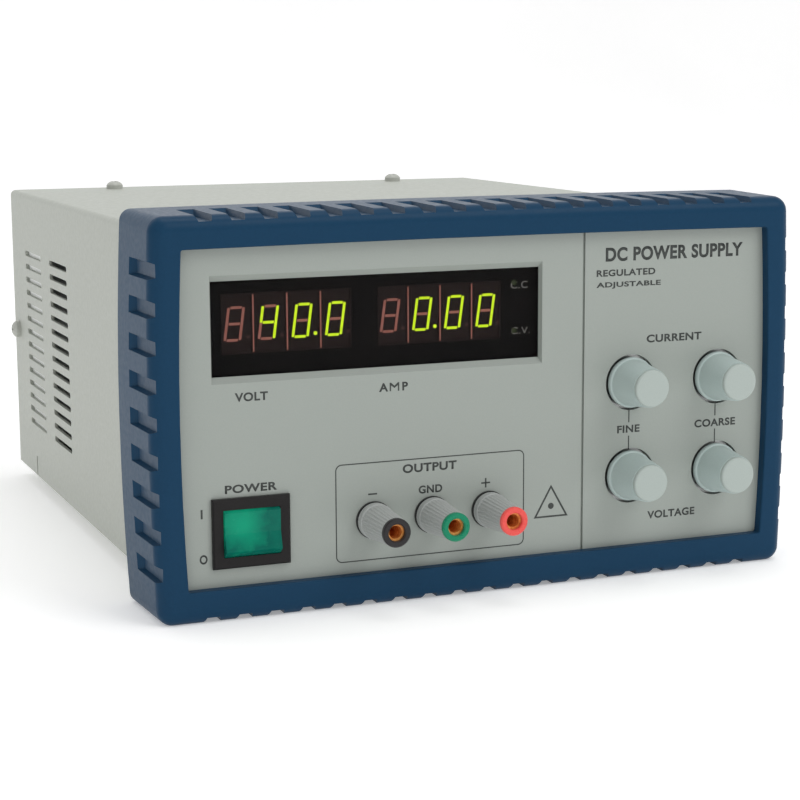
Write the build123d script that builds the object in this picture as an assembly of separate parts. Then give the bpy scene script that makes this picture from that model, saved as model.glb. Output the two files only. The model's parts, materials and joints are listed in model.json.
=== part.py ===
from build123d import *
from math import atan2, cos, degrees, pi, radians, sin, sqrt, tan
import os

# Bench power supply: a bowed plastic bezel round a printed front panel, a sheet-metal case behind it,
# four control knobs, three binding posts, a lit rocker switch, and a fan, inlet and selector at the rear.
#
# Millimetres. X runs to the viewer's right, Y from the front to the back, Z up. Depths are measured from
# the bezel's front face, and place() moves the finished pieces so that the origin is the middle of the
# footprint on the bench.

# Bezel
HEIGHT = 120.0
HALF_WIDTH = 106.4
SIDE_BOW = 1.2
TOP_BOW = 0.5
BEZEL_DEPTH = 34.0
BEZEL_CORNER = 5.0
BEZEL_FRONT_ROUND = 4.5
BEZEL_REAR_ROUND = 0.8
REAR_FLARE = 0.7
REAR_SIDE_BOW = 1.9
REAR_RISE = 0.5
REAR_CORNER = 3.6
BASE_TRIM = 0.3
LIP_DEPTH = 3.3
LIP_ROUND = 0.5
OPENING_HALF = 98.0
OPENING_SIDE_BOW = 1.4
OPENING_BOTTOM = 9.9
OPENING_TOP = 110.5
OPENING_CORNER = 0.8
NOTCH_LONG = 22.0
NOTCH_RAMP = 3.0
NOTCH_WIDE = 6.0
NOTCH_FLOOR = 3.9
NOTCH_DEPTH = 1.7
TOP_NOTCHES = 19
TOP_NOTCH_PITCH = 9.9
SIDE_NOTCHES = 9
SIDE_NOTCH_PITCH = 11.07

# Case
SHEET = 1.2
CASE_HALF = 98.5
CASE_BOTTOM = 5.85
CASE_TOP = 114.3
CASE_BACK = 240.9
COVER_FRONT = 24.0
COVER_BEND = 2.0
SLIDE_GAP = 0.15
REAR_PANEL_Y = 238.7
REAR_FACE = REAR_PANEL_Y + SHEET
SLOT_ROWS = 14
SLOT_PITCH = 5.0
SLOT_HIGH = 2.0
SLOT_LONG = 28.5
SLOT_COLUMNS = (158.0, 201.5)
SLOT_MID_Z = 59.0

# Front panel
PANEL_FACE = LIP_DEPTH
PANEL_THICK = 3.0
PANEL_HALF = 100.4
PANEL_GAP = 0.15
PANEL_BACK = PANEL_FACE + PANEL_THICK
SUB_BACK = PANEL_BACK + SHEET
GROOVE_X = 32.9
WINDOW = (-87.6, 18.6, 70.4, 102.0)
GLASS_FACE = PANEL_FACE + 1.7
FILTER_THICK = 2.0
WINDOW_BEVEL_X = 0.6
WINDOW_BEVEL_Z = 1.8

# Display
MODULE_FACE = 9.0
MODULE_LONG = 40.5
MODULE_HIGH = 17.8
MODULE_Z = 87.0
DIGIT_PITCH = 10.5
DIGIT_WALL = 0.7
DIGIT_RECESS = 0.4
VOLT_X = -62.3
AMP_X = -13.2
LED_X = 11.8
LED_Z = (95.2, 80.2)

# Controls
KNOB_COLUMNS = {"fine": 49.9, "coarse": 81.2}
KNOB_ROWS = {"current": 62.4, "voltage": 32.45}
KNOB_RADIUS = 8.05
KNOB_HOLE = 8.9
KNOB_TOP_RADIUS = 6.0
KNOB_FRONT = -10.9
KNOB_CAP_THICK = 1.3
SHAFT_RADIUS = 3.0
RUN_GAP = 0.06

# Rocker switch
SWITCH_X = -76.5
SWITCH_Z = 26.0
SWITCH_FRAME = (24.0, 21.0)
SWITCH_BODY = (22.0, 18.6)
ROCKER_PIVOT_Y = 5.5
ROCKER_RADIUS = 7.84
ROCKER_HALF = 8.6
ROCKER_LEVEL = 0.9
ROCKER_CORNER = 1.3
ROCKER_THROW = 16.0
SKIN = 1.4

# Binding posts
POST_X = {"black": -37.55, "green": -18.5, "red": 0.55}
POST_Z = 25.85
POST_BASE_RADIUS = 5.4
POST_TIP_RADIUS = 4.4
POST_FRONT = -16.0
POST_RING = 1.4
BANANA_RADIUS = 2.0
BANANA_DEPTH = 14.0
STUD_RADIUS = 3.0
STUD_FRONT = -14.4
STUD_BACK = 32.0

# Rear panel items
FAN_X = 45.0
FAN_Z = 60.0
FAN_SIZE = 80.0
FAN_DEEP = 25.0
FAN_BORE = 38.0
FAN_HOLES = 71.5
INLET_X = -62.0
INLET_Z = 48.0
SELECTOR_Z = 92.0
INLET_FACE = REAR_FACE + 2.5
INLET_BACK = 213.0
SOCKET_DEPTH = 16.5
PIN_LONG = 11.8
DRAWER_DEPTH = 26.0
SELECTOR_SCREW_X = 12.0
GUARD_WIRE = 0.9
FOOT_X = 75.0
FOOT_Y = 205.0

# Boards inside the case
BOARD_UNDERSIDE = 14.0
BOARD_TOP = 15.6
FRONT_BOARD_FACE = 17.0
FRONT_BOARD_BACK = 18.6

# Screws of the outside of the case, as (x, y, z) under the head
SCREW_HEAD = 3.2
SCREW_SHANK = 1.6
SCREW_DOME = 2.3
COVER_SCREW_DOME = 2.9
TOP_SCREW_Y = 230.0
SIDE_SCREW_Y = 233.0
COVER_SCREW_X = 59.3
COVER_SCREW_Z = 60.0
FLANGE = 14.0

# Depth range of the finished object, for the origin in the middle of the footprint
GUARD_BACK = REAR_FACE + 4.2
MID_DEPTH = (POST_FRONT + GUARD_BACK) / 2


def place(shape, node):
    """Write one node with the origin at the middle of the footprint."""
    export_step(Pos(0, -MID_DEPTH, 0) * shape, f"parts/{node}.step")


def block(x0, x1, y0, y1, z0, z1):
    """A box between two corners."""
    middle = Pos((x0 + x1) / 2, (y0 + y1) / 2, (z0 + z1) / 2)
    return middle * Box(abs(x1 - x0), abs(y1 - y0), abs(z1 - z0))


def rod_x(y, z, x0, x1, radius):
    return Pos((x0 + x1) / 2, y, z) * Rot(0, 90, 0) * Cylinder(radius, abs(x1 - x0))


def rod_y(x, z, y0, y1, radius):
    return Pos(x, (y0 + y1) / 2, z) * Rot(90, 0, 0) * Cylinder(radius, abs(y1 - y0))


def rod_z(x, y, z0, z1, radius):
    return Pos(x, y, (z0 + z1) / 2) * Cylinder(radius, abs(z1 - z0))


def at_depth(sketch, y):
    """A sketch drawn in X and Z, standing at a depth."""
    return Plane.XZ.offset(-y) * sketch


def prism(sketch, y0, y1):
    """A sketch drawn in X and Z, pulled from one depth to another."""
    return extrude(at_depth(sketch, y0), amount=-(y1 - y0))


def turned(points, x, z):
    """A profile of (radius, depth) points, turned about an axis along Y."""
    profile = make_face(Polyline([(r, y, 0) for r, y in points], close=True))
    return Pos(x, 0, z) * revolve(profile, Axis.Y)


def bowed(half_width, bottom, top, side_bow, top_bow, corner):
    """A rectangle whose sides and top swell outward, with rounded corners."""
    low_x = half_width - side_bow
    middle_z = (bottom + top) / 2
    high_z = top - top_bow
    outline = [
        Line((-low_x, bottom), (low_x, bottom)),
        ThreePointArc((low_x, bottom), (half_width, middle_z), (low_x, high_z)),
        ThreePointArc((low_x, high_z), (0, top), (-low_x, high_z)),
        ThreePointArc((-low_x, high_z), (-half_width, middle_z), (-low_x, bottom)),
    ]
    face = make_face(outline)
    return fillet(face.vertices(), corner)


def notch(depth):
    """One grip notch for an edge facing +Z at Z=0: sloping walls, open at the front, ramped at the rear."""
    section = make_face(
        Polyline(
            [
                (-NOTCH_WIDE / 2, 1.0),
                (-NOTCH_FLOOR / 2, -depth),
                (NOTCH_FLOOR / 2, -depth),
                (NOTCH_WIDE / 2, 1.0),
            ],
            close=True,
        )
    )
    along = make_face(
        Polyline(
            [
                (0, -1.0, 1.0),
                (0, -1.0, -depth),
                (0, NOTCH_LONG - NOTCH_RAMP, -depth),
                (0, NOTCH_LONG + 0.3, 0.3),
                (0, NOTCH_LONG + 0.3, 1.0),
            ],
            close=True,
        )
    )
    long_cut = prism(section, -1.0, NOTCH_LONG + 1.0)
    ramp_cut = extrude(along, amount=NOTCH_WIDE, both=True)
    return long_cut & ramp_cut


def side_flare(z):
    """How much further out the bezel's side is at its rear edge than at its front, at a height."""
    off_middle = 2 * (z - HEIGHT / 2) / HEIGHT
    return REAR_FLARE + (REAR_SIDE_BOW - SIDE_BOW) * (1 - off_middle**2)


def make_bezel():
    """The frame round the panel: it widens to the rear, its front is well rounded and its base is flat."""
    rear_half = HALF_WIDTH + side_flare(HEIGHT / 2)
    front = bowed(HALF_WIDTH, -BASE_TRIM, HEIGHT, SIDE_BOW, TOP_BOW, BEZEL_CORNER)
    rear = bowed(rear_half, -BASE_TRIM, HEIGHT + REAR_RISE, REAR_SIDE_BOW, TOP_BOW, REAR_CORNER)
    ring = loft([at_depth(front, 0), at_depth(rear, BEZEL_DEPTH)], ruled=True)
    ring = fillet(ring.faces().sort_by(Axis.Y)[0].outer_wire().edges(), BEZEL_FRONT_ROUND)
    ring = fillet(ring.faces().sort_by(Axis.Y)[-1].outer_wire().edges(), BEZEL_REAR_ROUND)
    ring -= block(-HEIGHT, HEIGHT, -1, BEZEL_DEPTH + 1, -HEIGHT, 0)
    opening = bowed(
        OPENING_HALF, OPENING_BOTTOM, OPENING_TOP, OPENING_SIDE_BOW, TOP_BOW, OPENING_CORNER
    )
    ring -= prism(opening, -1, LIP_DEPTH + 1)
    ring = fillet(ring.faces().sort_by(Axis.Y)[0].inner_wires()[0].edges(), LIP_ROUND)
    ring -= block(
        -PANEL_HALF,
        PANEL_HALF,
        LIP_DEPTH,
        PANEL_BACK,
        CASE_BOTTOM,
        CASE_TOP,
    )
    ring -= block(
        -CASE_HALF - SLIDE_GAP,
        CASE_HALF + SLIDE_GAP,
        LIP_DEPTH,
        BEZEL_DEPTH + 1,
        CASE_BOTTOM - SLIDE_GAP,
        CASE_TOP + SLIDE_GAP,
    )
    cutters = []
    for k in range(TOP_NOTCHES):
        x = (k - (TOP_NOTCHES - 1) / 2) * TOP_NOTCH_PITCH
        swell = TOP_BOW * (x / HALF_WIDTH) ** 2
        cutters.append(Pos(x, 0, HEIGHT - swell) * notch(NOTCH_DEPTH))
        cutters.append(Pos(x, 0, 0) * Rot(0, 180, 0) * notch(NOTCH_DEPTH))
    for k in range(SIDE_NOTCHES):
        z = (k - (SIDE_NOTCHES - 1) / 2) * SIDE_NOTCH_PITCH
        swell = SIDE_BOW * (2 * z / HEIGHT) ** 2
        lean = degrees(atan2(side_flare(HEIGHT / 2 + z), BEZEL_DEPTH))
        for side, turn in ((1, 90), (-1, -90)):
            x = side * (HALF_WIDTH - swell)
            turned_notch = Rot(0, 0, -side * lean) * Rot(0, turn, 0) * notch(NOTCH_DEPTH)
            cutters.append(Pos(x, 0, HEIGHT / 2 + z) * turned_notch)
    for cutter in cutters:
        ring -= cutter
    return ring


def window_cut():
    """The display window: a bevelled mouth, the opening, and the seat of the filter behind."""
    x0, x1, z0, z1 = WINDOW
    mouth = Pos((x0 + x1) / 2, (z0 + z1) / 2) * Rectangle(x1 - x0, z1 - z0)
    throat = Pos((x0 + x1) / 2, (z0 + z1) / 2) * Rectangle(
        x1 - x0 - 2 * WINDOW_BEVEL_X, z1 - z0 - 2 * WINDOW_BEVEL_Z
    )
    bevel = loft([at_depth(mouth, PANEL_FACE), at_depth(throat, GLASS_FACE)], ruled=True)
    seat = block(x0 - 1.5, x1 + 1.5, GLASS_FACE, PANEL_BACK + 1, z0 - 0.5, z1 + 0.5)
    return bevel + seat


def knob_centres():
    return [(x, z) for z in KNOB_ROWS.values() for x in KNOB_COLUMNS.values()]


def make_front_panel():
    panel = block(
        -PANEL_HALF + PANEL_GAP,
        PANEL_HALF - PANEL_GAP,
        PANEL_FACE,
        PANEL_BACK,
        CASE_BOTTOM + PANEL_GAP,
        CASE_TOP - PANEL_GAP,
    )
    panel -= window_cut()
    panel -= block(GROOVE_X - 0.4, GROOVE_X + 0.4, PANEL_FACE - 1, PANEL_FACE + 0.8, 0, HEIGHT)
    for x, z in knob_centres():
        panel -= rod_y(x, z, PANEL_FACE - 1, PANEL_BACK + 1, KNOB_HOLE)
    for x in POST_X.values():
        panel -= rod_y(x, POST_Z, PANEL_FACE - 1, PANEL_BACK + 1, 4.3)
    wide, high = SWITCH_BODY
    panel -= block(
        SWITCH_X - wide / 2 - 0.1,
        SWITCH_X + wide / 2 + 0.1,
        PANEL_FACE - 1,
        PANEL_BACK + 1,
        SWITCH_Z - high / 2 - 0.1,
        SWITCH_Z + high / 2 + 0.1,
    )
    return panel


def make_subpanel():
    plate = block(-96.8, 96.8, PANEL_BACK, SUB_BACK, 7.2, 112.8)
    plate += block(-90, 90, PANEL_BACK, PANEL_BACK + FLANGE, 7.2, 7.2 + SHEET)
    plate += block(-90, 90, PANEL_BACK, PANEL_BACK + FLANGE, 112.8 - SHEET, 112.8)
    x0, x1, z0, z1 = WINDOW
    plate -= block(x0 - 2, x1 + 2, PANEL_BACK - 1, SUB_BACK + 1, z0 - 1, z1 + 1)
    for x, z in knob_centres():
        plate -= rod_y(x, z, PANEL_BACK - 1, SUB_BACK + 1, 3.7)
    for x in POST_X.values():
        plate -= rod_y(x, POST_Z, PANEL_BACK - 1, SUB_BACK + 1, 4.3)
    wide, high = SWITCH_BODY
    plate -= block(
        SWITCH_X - wide / 2 - 0.2,
        SWITCH_X + wide / 2 + 0.2,
        PANEL_BACK - 1,
        SUB_BACK + 1,
        SWITCH_Z - high / 2 - 0.2,
        SWITCH_Z + high / 2 + 0.2,
    )
    return plate


def slot_x(y, z, long, high, x0, x1):
    """A slot with round ends, long along Y, cut through a wall that faces X."""
    straight = block(x0, x1, y - long / 2 + high / 2, y + long / 2 - high / 2, z - high / 2, z + high / 2)
    ends = [rod_x(y + s * (long - high) / 2, z, x0, x1, high / 2) for s in (-1, 1)]
    return straight + ends[0] + ends[1]


def cover_screw_places():
    """Head seats of the four cover screws: place and outward direction."""
    tops = [((s * COVER_SCREW_X, TOP_SCREW_Y, CASE_TOP), (0, 0, 1)) for s in (-1, 1)]
    sides = [((s * CASE_HALF, SIDE_SCREW_Y, COVER_SCREW_Z), (s, 0, 0)) for s in (-1, 1)]
    return tops + sides


def fan_hole_places():
    half = FAN_HOLES / 2
    return [(FAN_X + i * half, FAN_Z + j * half) for i in (-1, 1) for j in (-1, 1)]


def screw_hole(seat, out, radius, deep):
    """A hole for a screw, from above its head seat to a depth below it."""
    direction = Vector(*out)
    start = Vector(*seat) + direction * 1.0
    return extrude(Plane(start, z_dir=-direction) * Circle(radius), amount=deep + 1.0)


def make_cover():
    outer = block(-CASE_HALF, CASE_HALF, COVER_FRONT, CASE_BACK, CASE_BOTTOM - 10, CASE_TOP)
    outer = fillet(outer.edges().filter_by(Axis.Y).group_by(Axis.Z)[-1], COVER_BEND)
    inside = CASE_HALF - SHEET
    inner = block(-inside, inside, COVER_FRONT - 1, CASE_BACK + 1, CASE_BOTTOM - 12, CASE_TOP - SHEET)
    inner = fillet(inner.edges().filter_by(Axis.Y).group_by(Axis.Z)[-1], COVER_BEND - SHEET)
    cover = outer - inner - block(-120, 120, 0, 300, -20, CASE_BOTTOM)
    for side in (-1, 1):
        x0, x1 = sorted((side * (inside - 2), side * (CASE_HALF + 2)))
        for column in SLOT_COLUMNS:
            for row in range(SLOT_ROWS):
                z = SLOT_MID_Z + (row - (SLOT_ROWS - 1) / 2) * SLOT_PITCH
                cover -= slot_x(column, z, SLOT_LONG, SLOT_HIGH, x0, x1)
        cover -= block(x0, x1, 206.4, 207.8, CASE_BOTTOM - 1, 13.4)
    for seat, out in cover_screw_places():
        cover -= screw_hole(seat, out, SCREW_SHANK + 0.15, SHEET + 1)
    return cover


def make_pan():
    edge = CASE_HALF - SHEET - SLIDE_GAP
    pan = block(-edge, edge, PANEL_BACK + 0.2, REAR_PANEL_Y, CASE_BOTTOM, CASE_BOTTOM + SHEET)
    for side in (-1, 1):
        x0, x1 = sorted((side * edge, side * (edge - SHEET)))
        pan += block(x0, x1, COVER_FRONT + 10, REAR_PANEL_Y - 1, CASE_BOTTOM, CASE_BOTTOM + 10)
    for x in (-45, 45):
        for k in range(7):
            y = 80 + 12 * k
            pan -= block(x - 17, x + 17, y - 1.5, y + 1.5, CASE_BOTTOM - 1, CASE_BOTTOM + SHEET + 1)
            for end in (-17, 17):
                pan -= rod_z(x + end, y, CASE_BOTTOM - 1, CASE_BOTTOM + SHEET + 1, 1.5)
    for x in (-FOOT_X, FOOT_X):
        pan -= rod_z(x, FOOT_Y, CASE_BOTTOM - 1, CASE_BOTTOM + SHEET + 1, SCREW_SHANK + 0.1)
    return pan


def make_rear_panel():
    edge = CASE_HALF - SHEET - SLIDE_GAP
    floor = CASE_BOTTOM
    roof = CASE_TOP - SHEET - SLIDE_GAP
    front = REAR_PANEL_Y - FLANGE
    panel = block(-edge, edge, REAR_PANEL_Y, REAR_FACE, floor, roof)
    panel = fillet(panel.edges().filter_by(Axis.Y).group_by(Axis.Z)[-1], COVER_BEND - SHEET)
    panel += block(-80, 80, front, REAR_PANEL_Y, roof - SHEET, roof)
    for side in (-1, 1):
        x0, x1 = sorted((side * edge, side * (edge - SHEET)))
        panel += block(x0, x1, front, REAR_PANEL_Y, 20, 104)
    panel -= rod_y(FAN_X, FAN_Z, REAR_PANEL_Y - 1, REAR_FACE + 1, FAN_BORE)
    for x, z in fan_hole_places():
        panel -= rod_y(x, z, REAR_PANEL_Y - 1, REAR_FACE + 1, 2.1)
    panel -= block(
        INLET_X - 14.1, INLET_X + 14.1, REAR_PANEL_Y - 1, REAR_FACE + 1, INLET_Z - 20.1, INLET_Z + 20.1
    )
    panel -= block(
        INLET_X - 9.1, INLET_X + 9.1, REAR_PANEL_Y - 1, REAR_FACE + 1, SELECTOR_Z - 5.1, SELECTOR_Z + 5.1
    )
    for x in (INLET_X - SELECTOR_SCREW_X, INLET_X + SELECTOR_SCREW_X):
        panel -= rod_y(x, SELECTOR_Z, REAR_PANEL_Y - 1, REAR_FACE + 1, SCREW_SHANK + 0.1)
    for k in range(6):
        x = -28 + 5 * k
        panel -= block(x - 1, x + 1, REAR_PANEL_Y - 1, REAR_FACE + 1, 20, 34)
    for seat, out in cover_screw_places():
        panel -= screw_hole(seat, out, SCREW_SHANK + 0.05, 3 * SHEET)
    return panel


def screw(seat, out, long, head=SCREW_HEAD, shank=SCREW_SHANK, dome=SCREW_DOME):
    """A pan-head screw with a cross recess, its head's underside on the seat."""
    profile = make_face(
        [
            Line((0, -long), (shank, -long)),
            Line((shank, -long), (shank, 0)),
            Line((shank, 0), (head, 0)),
            Line((head, 0), (head, dome - 1.4)),
            ThreePointArc((head, dome - 1.4), (head * 0.72, dome - 0.4), (0, dome)),
            Line((0, dome), (0, -long)),
        ]
    )
    body = revolve(Plane.XZ * profile, Axis.Z)
    for wide, deep in ((3.2, 0.7), (0.7, 3.2)):
        body -= Pos(0, 0, dome - 0.2) * Box(wide, deep, 1.8)
    return Plane(Vector(*seat), z_dir=Vector(*out)).location * body


def make_feet():
    feet = []
    for x in (-FOOT_X, FOOT_X):
        foot = Pos(x, FOOT_Y, 0) * revolve(
            Plane.XZ
            * make_face(
                Polyline(
                    [(1.75, 2.6), (4.2, 2.6), (4.2, 0), (7.4, 0), (8.4, CASE_BOTTOM), (1.75, CASE_BOTTOM)],
                    close=True,
                )
            ),
            Axis.Z,
        )
        feet.append(foot)
    return Compound(children=feet)


def make_knob(x, z):
    """Tapered knob with a rounded rim at the base, hollow over the bushing and bored for the shaft."""
    cap_back = KNOB_FRONT + KNOB_CAP_THICK
    rim = [
        (SHAFT_RADIUS + 0.04, cap_back + 1.0),
        (SHAFT_RADIUS + 0.04, -1.0),
        (6.4, -1.0),
        (6.4, 3.9),
        (KNOB_RADIUS - 0.4, 3.9),
        (KNOB_RADIUS - 0.1, 3.7),
        (KNOB_RADIUS, 3.3),
        (KNOB_RADIUS, 2.6),
        (KNOB_RADIUS - 0.15, 2.1),
        (KNOB_RADIUS - 0.55, 1.8),
        (KNOB_TOP_RADIUS + 0.1, cap_back),
        (0, cap_back),
        (0, cap_back + 1.0),
    ]
    return turned(rim, x, z)


def make_knob_cap(x, z):
    cap_back = KNOB_FRONT + KNOB_CAP_THICK
    disc = rod_y(x, z, KNOB_FRONT, cap_back, KNOB_TOP_RADIUS - 0.15)
    return fillet(disc.faces().sort_by(Axis.Y)[0].edges(), 0.7)


def make_shaft(x, z):
    tip = KNOB_FRONT + KNOB_CAP_THICK + 1.0
    return chamfer(rod_y(x, z, tip, 14.0, SHAFT_RADIUS).edges().filter_by(GeomType.CIRCLE), 0.3)


def make_pots():
    pots = []
    for x, z in knob_centres():
        pot = rod_y(x, z, SUB_BACK, FRONT_BOARD_FACE, 8.2) + rod_y(x, z, 0.3, SUB_BACK, 3.5)
        pot -= rod_y(x, z, 0, 14.4, SHAFT_RADIUS + RUN_GAP)
        pots.append(pot)
    return Compound(children=pots)


def hexagon_y(x, z, across, y0, y1, bore):
    shape = Pos(x, z) * RegularPolygon(across / sqrt(3), 6)
    return prism(shape, y0, y1) - rod_y(x, z, y0 - 1, y1 + 1, bore)


def make_pot_nuts():
    return [hexagon_y(x, z, 10.0, PANEL_BACK - 2.0, PANEL_BACK, 3.55) for x, z in knob_centres()]


def ribbed_cone(x, z, y0, r0, y1, r1, ribs, deep):
    """A tapered body with fine ribs along it."""
    ends = []
    for y, radius in ((y0, r0), (y1, r1)):
        points = []
        for k in range(2 * ribs):
            r = radius - (deep if k % 2 else 0)
            points.append((r * cos(pi * k / ribs), r * sin(pi * k / ribs)))
        ends.append(at_depth(make_face(Polyline(points, close=True)), y))
    return Pos(x, 0, z) * loft(ends, ruled=True)


def make_post_cap(x):
    """Ribbed grip of a binding post, with a skirt over the clamp washer and a lip round the socket."""
    back = 2.35
    front = POST_FRONT + POST_RING
    cap = ribbed_cone(x, POST_Z, -0.6, POST_BASE_RADIUS, front, POST_TIP_RADIUS, 30, 0.22)
    cap += turned([(0, back), (5.35, back), (5.55, 2.1), (5.55, -0.3), (5.3, -0.6), (0, -0.6)], x, POST_Z)
    cap -= rod_y(x, POST_Z, 0.95, back + 1, 5.05)
    cap -= rod_y(x, POST_Z, STUD_FRONT - 0.2, back, STUD_RADIUS + RUN_GAP)
    cap -= rod_y(x, POST_Z, front - 1, STUD_FRONT, 2.6)
    return cap


def make_post_ring(x):
    front = POST_FRONT
    back = front + POST_RING
    outline = [(2.6, back), (POST_TIP_RADIUS, back), (POST_TIP_RADIUS, front + 0.4)]
    outline += [(POST_TIP_RADIUS - 0.4, front), (2.9, front), (2.6, front + 0.3)]
    return turned(outline, x, POST_Z)


def make_post_washer(x):
    return rod_y(x, POST_Z, 1.05, 1.85, 4.9) - rod_y(x, POST_Z, 0, 3, STUD_RADIUS + 0.1)


def make_stud(x):
    stud = rod_y(x, POST_Z, STUD_FRONT, STUD_BACK, STUD_RADIUS)
    stud += rod_y(x, POST_Z, 1.85, 2.5, 4.6)
    stud -= rod_y(x, POST_Z, STUD_FRONT - 1, STUD_FRONT + BANANA_DEPTH, BANANA_RADIUS)
    stud -= rod_x(0.8, POST_Z, x - 5, x + 5, 0.9)
    return stud


def make_post_seats():
    """Insulating seats in front of the panel, and insulating washers behind it."""
    seats = []
    for x in POST_X.values():
        seat = rod_y(x, POST_Z, 2.5, PANEL_FACE, 5.75) + rod_y(x, POST_Z, PANEL_FACE, SUB_BACK, 4.2)
        seats.append(seat - rod_y(x, POST_Z, 0, 10, STUD_RADIUS + 0.05))
        washer = rod_y(x, POST_Z, SUB_BACK, SUB_BACK + 2, 6.5)
        seats.append(washer - rod_y(x, POST_Z, 0, 12, STUD_RADIUS + 0.05))
    return Compound(children=seats)


def make_post_nuts():
    nuts = []
    for x in POST_X.values():
        for y0 in (SUB_BACK + 2, 24.0):
            nuts.append(hexagon_y(x, POST_Z, 10.0, y0, y0 + 3, STUD_RADIUS + 0.05))
    return nuts


def make_switch_housing():
    wide, high = SWITCH_FRAME
    body_wide, body_high = SWITCH_BODY
    frame = block(-wide / 2, wide / 2, 1.7, PANEL_FACE, -high / 2, high / 2)
    frame = chamfer(frame.faces().sort_by(Axis.Y)[0].edges(), 0.5)
    body = block(-body_wide / 2, body_wide / 2, PANEL_FACE, 22, -body_high / 2, body_high / 2)
    cavity = rod_x(ROCKER_PIVOT_Y, 0, -ROCKER_HALF - 0.2, ROCKER_HALF + 0.2, ROCKER_RADIUS + 0.25)
    pins = rod_x(ROCKER_PIVOT_Y, 0, -10.4, 10.4, 1.5 + RUN_GAP)
    return Pos(SWITCH_X, 0, SWITCH_Z) * (frame + body - cavity - pins)


def make_rocker():
    """Translucent rocker, its upper half pressed level: a shell turned about the pivot pins."""
    half = ROCKER_HALF
    reach = 20.0
    level = ROCKER_LEVEL
    slope = tan(radians(ROCKER_THROW))
    face_line = [(0, level, 0), (0, level, reach), (0, -reach, reach), (0, -reach, -reach)]
    face_line.append((0, level - reach * slope, -reach))
    in_front = extrude(make_face(Polyline(face_line, close=True)), amount=reach, both=True)
    plan = prism(RectangleRounded(2 * half, 2 * ROCKER_RADIUS, ROCKER_CORNER), -reach, reach)
    outer = (rod_x(ROCKER_PIVOT_Y, 0, -half, half, ROCKER_RADIUS) & plan) - in_front
    inner = rod_x(ROCKER_PIVOT_Y, 0, -half + SKIN, half - SKIN, ROCKER_RADIUS - SKIN)
    inner -= Pos(0, SKIN, 0) * in_front
    rocker = outer - inner - block(-reach, reach, ROCKER_PIVOT_Y + 2.2, reach, -reach, reach)
    rocker += rod_x(ROCKER_PIVOT_Y, 0, half, half + 1.2, 1.5)
    rocker += rod_x(ROCKER_PIVOT_Y, 0, -half - 1.2, -half, 1.5)
    return Pos(SWITCH_X, 0, SWITCH_Z) * rocker


def make_switch_lamp():
    lamp = rod_x(ROCKER_PIVOT_Y, 0, -5, 5, 1.5)
    for x in (-4, 4):
        lamp += rod_y(x, 0, ROCKER_PIVOT_Y, 13.2, 0.4)
    return Pos(SWITCH_X, 0, SWITCH_Z) * lamp


def make_switch_terminals():
    blades = []
    for x in (-5, 5):
        for z in (-5, 5):
            blades.append(block(x - 2.4, x + 2.4, 22, 31, z - 0.4, z + 0.4))
    return [Pos(SWITCH_X, 0, SWITCH_Z) * blade for blade in blades]


def make_display(x):
    """Four-digit module: a potting frame with a window recess for each digit."""
    half = MODULE_LONG / 2
    low = MODULE_Z - MODULE_HIGH / 2
    high = MODULE_Z + MODULE_HIGH / 2
    module = block(x - half, x + half, MODULE_FACE, FRONT_BOARD_FACE, low, high)
    walls = [-half, -DIGIT_PITCH, 0, DIGIT_PITCH, half]
    floor = MODULE_FACE + DIGIT_RECESS
    gap = DIGIT_WALL / 2
    for left, right in zip(walls, walls[1:]):
        module -= block(x + left + gap, x + right - gap, MODULE_FACE - 1, floor, low + gap, high - gap)
    return module


def make_display_filter():
    x0, x1, z0, z1 = WINDOW
    return block(x0 - 1.4, x1 + 1.4, GLASS_FACE, GLASS_FACE + FILTER_THICK, z0 - 0.4, z1 + 0.4)


def make_leds():
    leds = []
    for z in LED_Z:
        led = rod_y(LED_X, z, 10.5, FRONT_BOARD_FACE, 1.5) + Pos(LED_X, 10.5, z) * Sphere(1.5)
        leds.append(led)
    return Compound(children=leds)


def make_front_boards():
    display = block(-86, 24, FRONT_BOARD_FACE, FRONT_BOARD_BACK, 65, 108)
    control = block(38, 93, FRONT_BOARD_FACE, FRONT_BOARD_BACK, 20, 76)
    return Compound(children=[display, control])


def make_standoffs():
    spacers = [rod_y(x, 105.5, SUB_BACK, FRONT_BOARD_FACE, 2.5) for x in (-80, 20)]
    spacers += [rod_y(x, 67.6, SUB_BACK, FRONT_BOARD_FACE, 1.6) for x in (-80, 20)]
    for x in (-62, 80):
        for y in (66, 132, 200):
            spacers.append(rod_z(x, y, CASE_BOTTOM + SHEET, BOARD_UNDERSIDE, 3))
    return Compound(children=spacers)


def make_main_board():
    return block(-68, 88, 60, 206, BOARD_UNDERSIDE, BOARD_TOP)


def make_transformer():
    core = block(-15, 35, 118, 160, BOARD_TOP + 4, BOARD_TOP + 40)
    core -= block(-7, 3, 117, 161, BOARD_TOP + 12, BOARD_TOP + 32)
    core -= block(17, 27, 117, 161, BOARD_TOP + 12, BOARD_TOP + 32)
    foot = block(-11, 31, 124, 154, BOARD_TOP, BOARD_TOP + 4)
    return core + foot


def make_transformer_winding():
    winding = block(-6.5, 26.5, 112, 166, BOARD_TOP + 12.5, BOARD_TOP + 31.5)
    return winding - block(2.8, 17.2, 111.8, 166.2, 0, 60) + block(-6.5, 26.5, 160.2, 166, 28.1, 47.1)


def make_chokes():
    upright = Pos(-46, 186, BOARD_TOP + 16) * Rot(90, 0, 0) * Torus(11, 5)
    lying = Pos(-46, 104, BOARD_TOP + 7) * Torus(14, 7)
    return Compound(children=[upright, lying])


def make_capacitors():
    places = [(60, 76, 12.5, 45), (60, 104, 12.5, 45)]
    places += [(x, 74, 8, 30) for x in (-56, -36, -16)]
    cans = []
    for x, y, radius, high in places:
        can = rod_z(x, y, BOARD_TOP, BOARD_TOP + high, radius)
        cans.append(fillet(can.edges().filter_by(GeomType.CIRCLE), 1.0))
    return Compound(children=cans)


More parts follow.
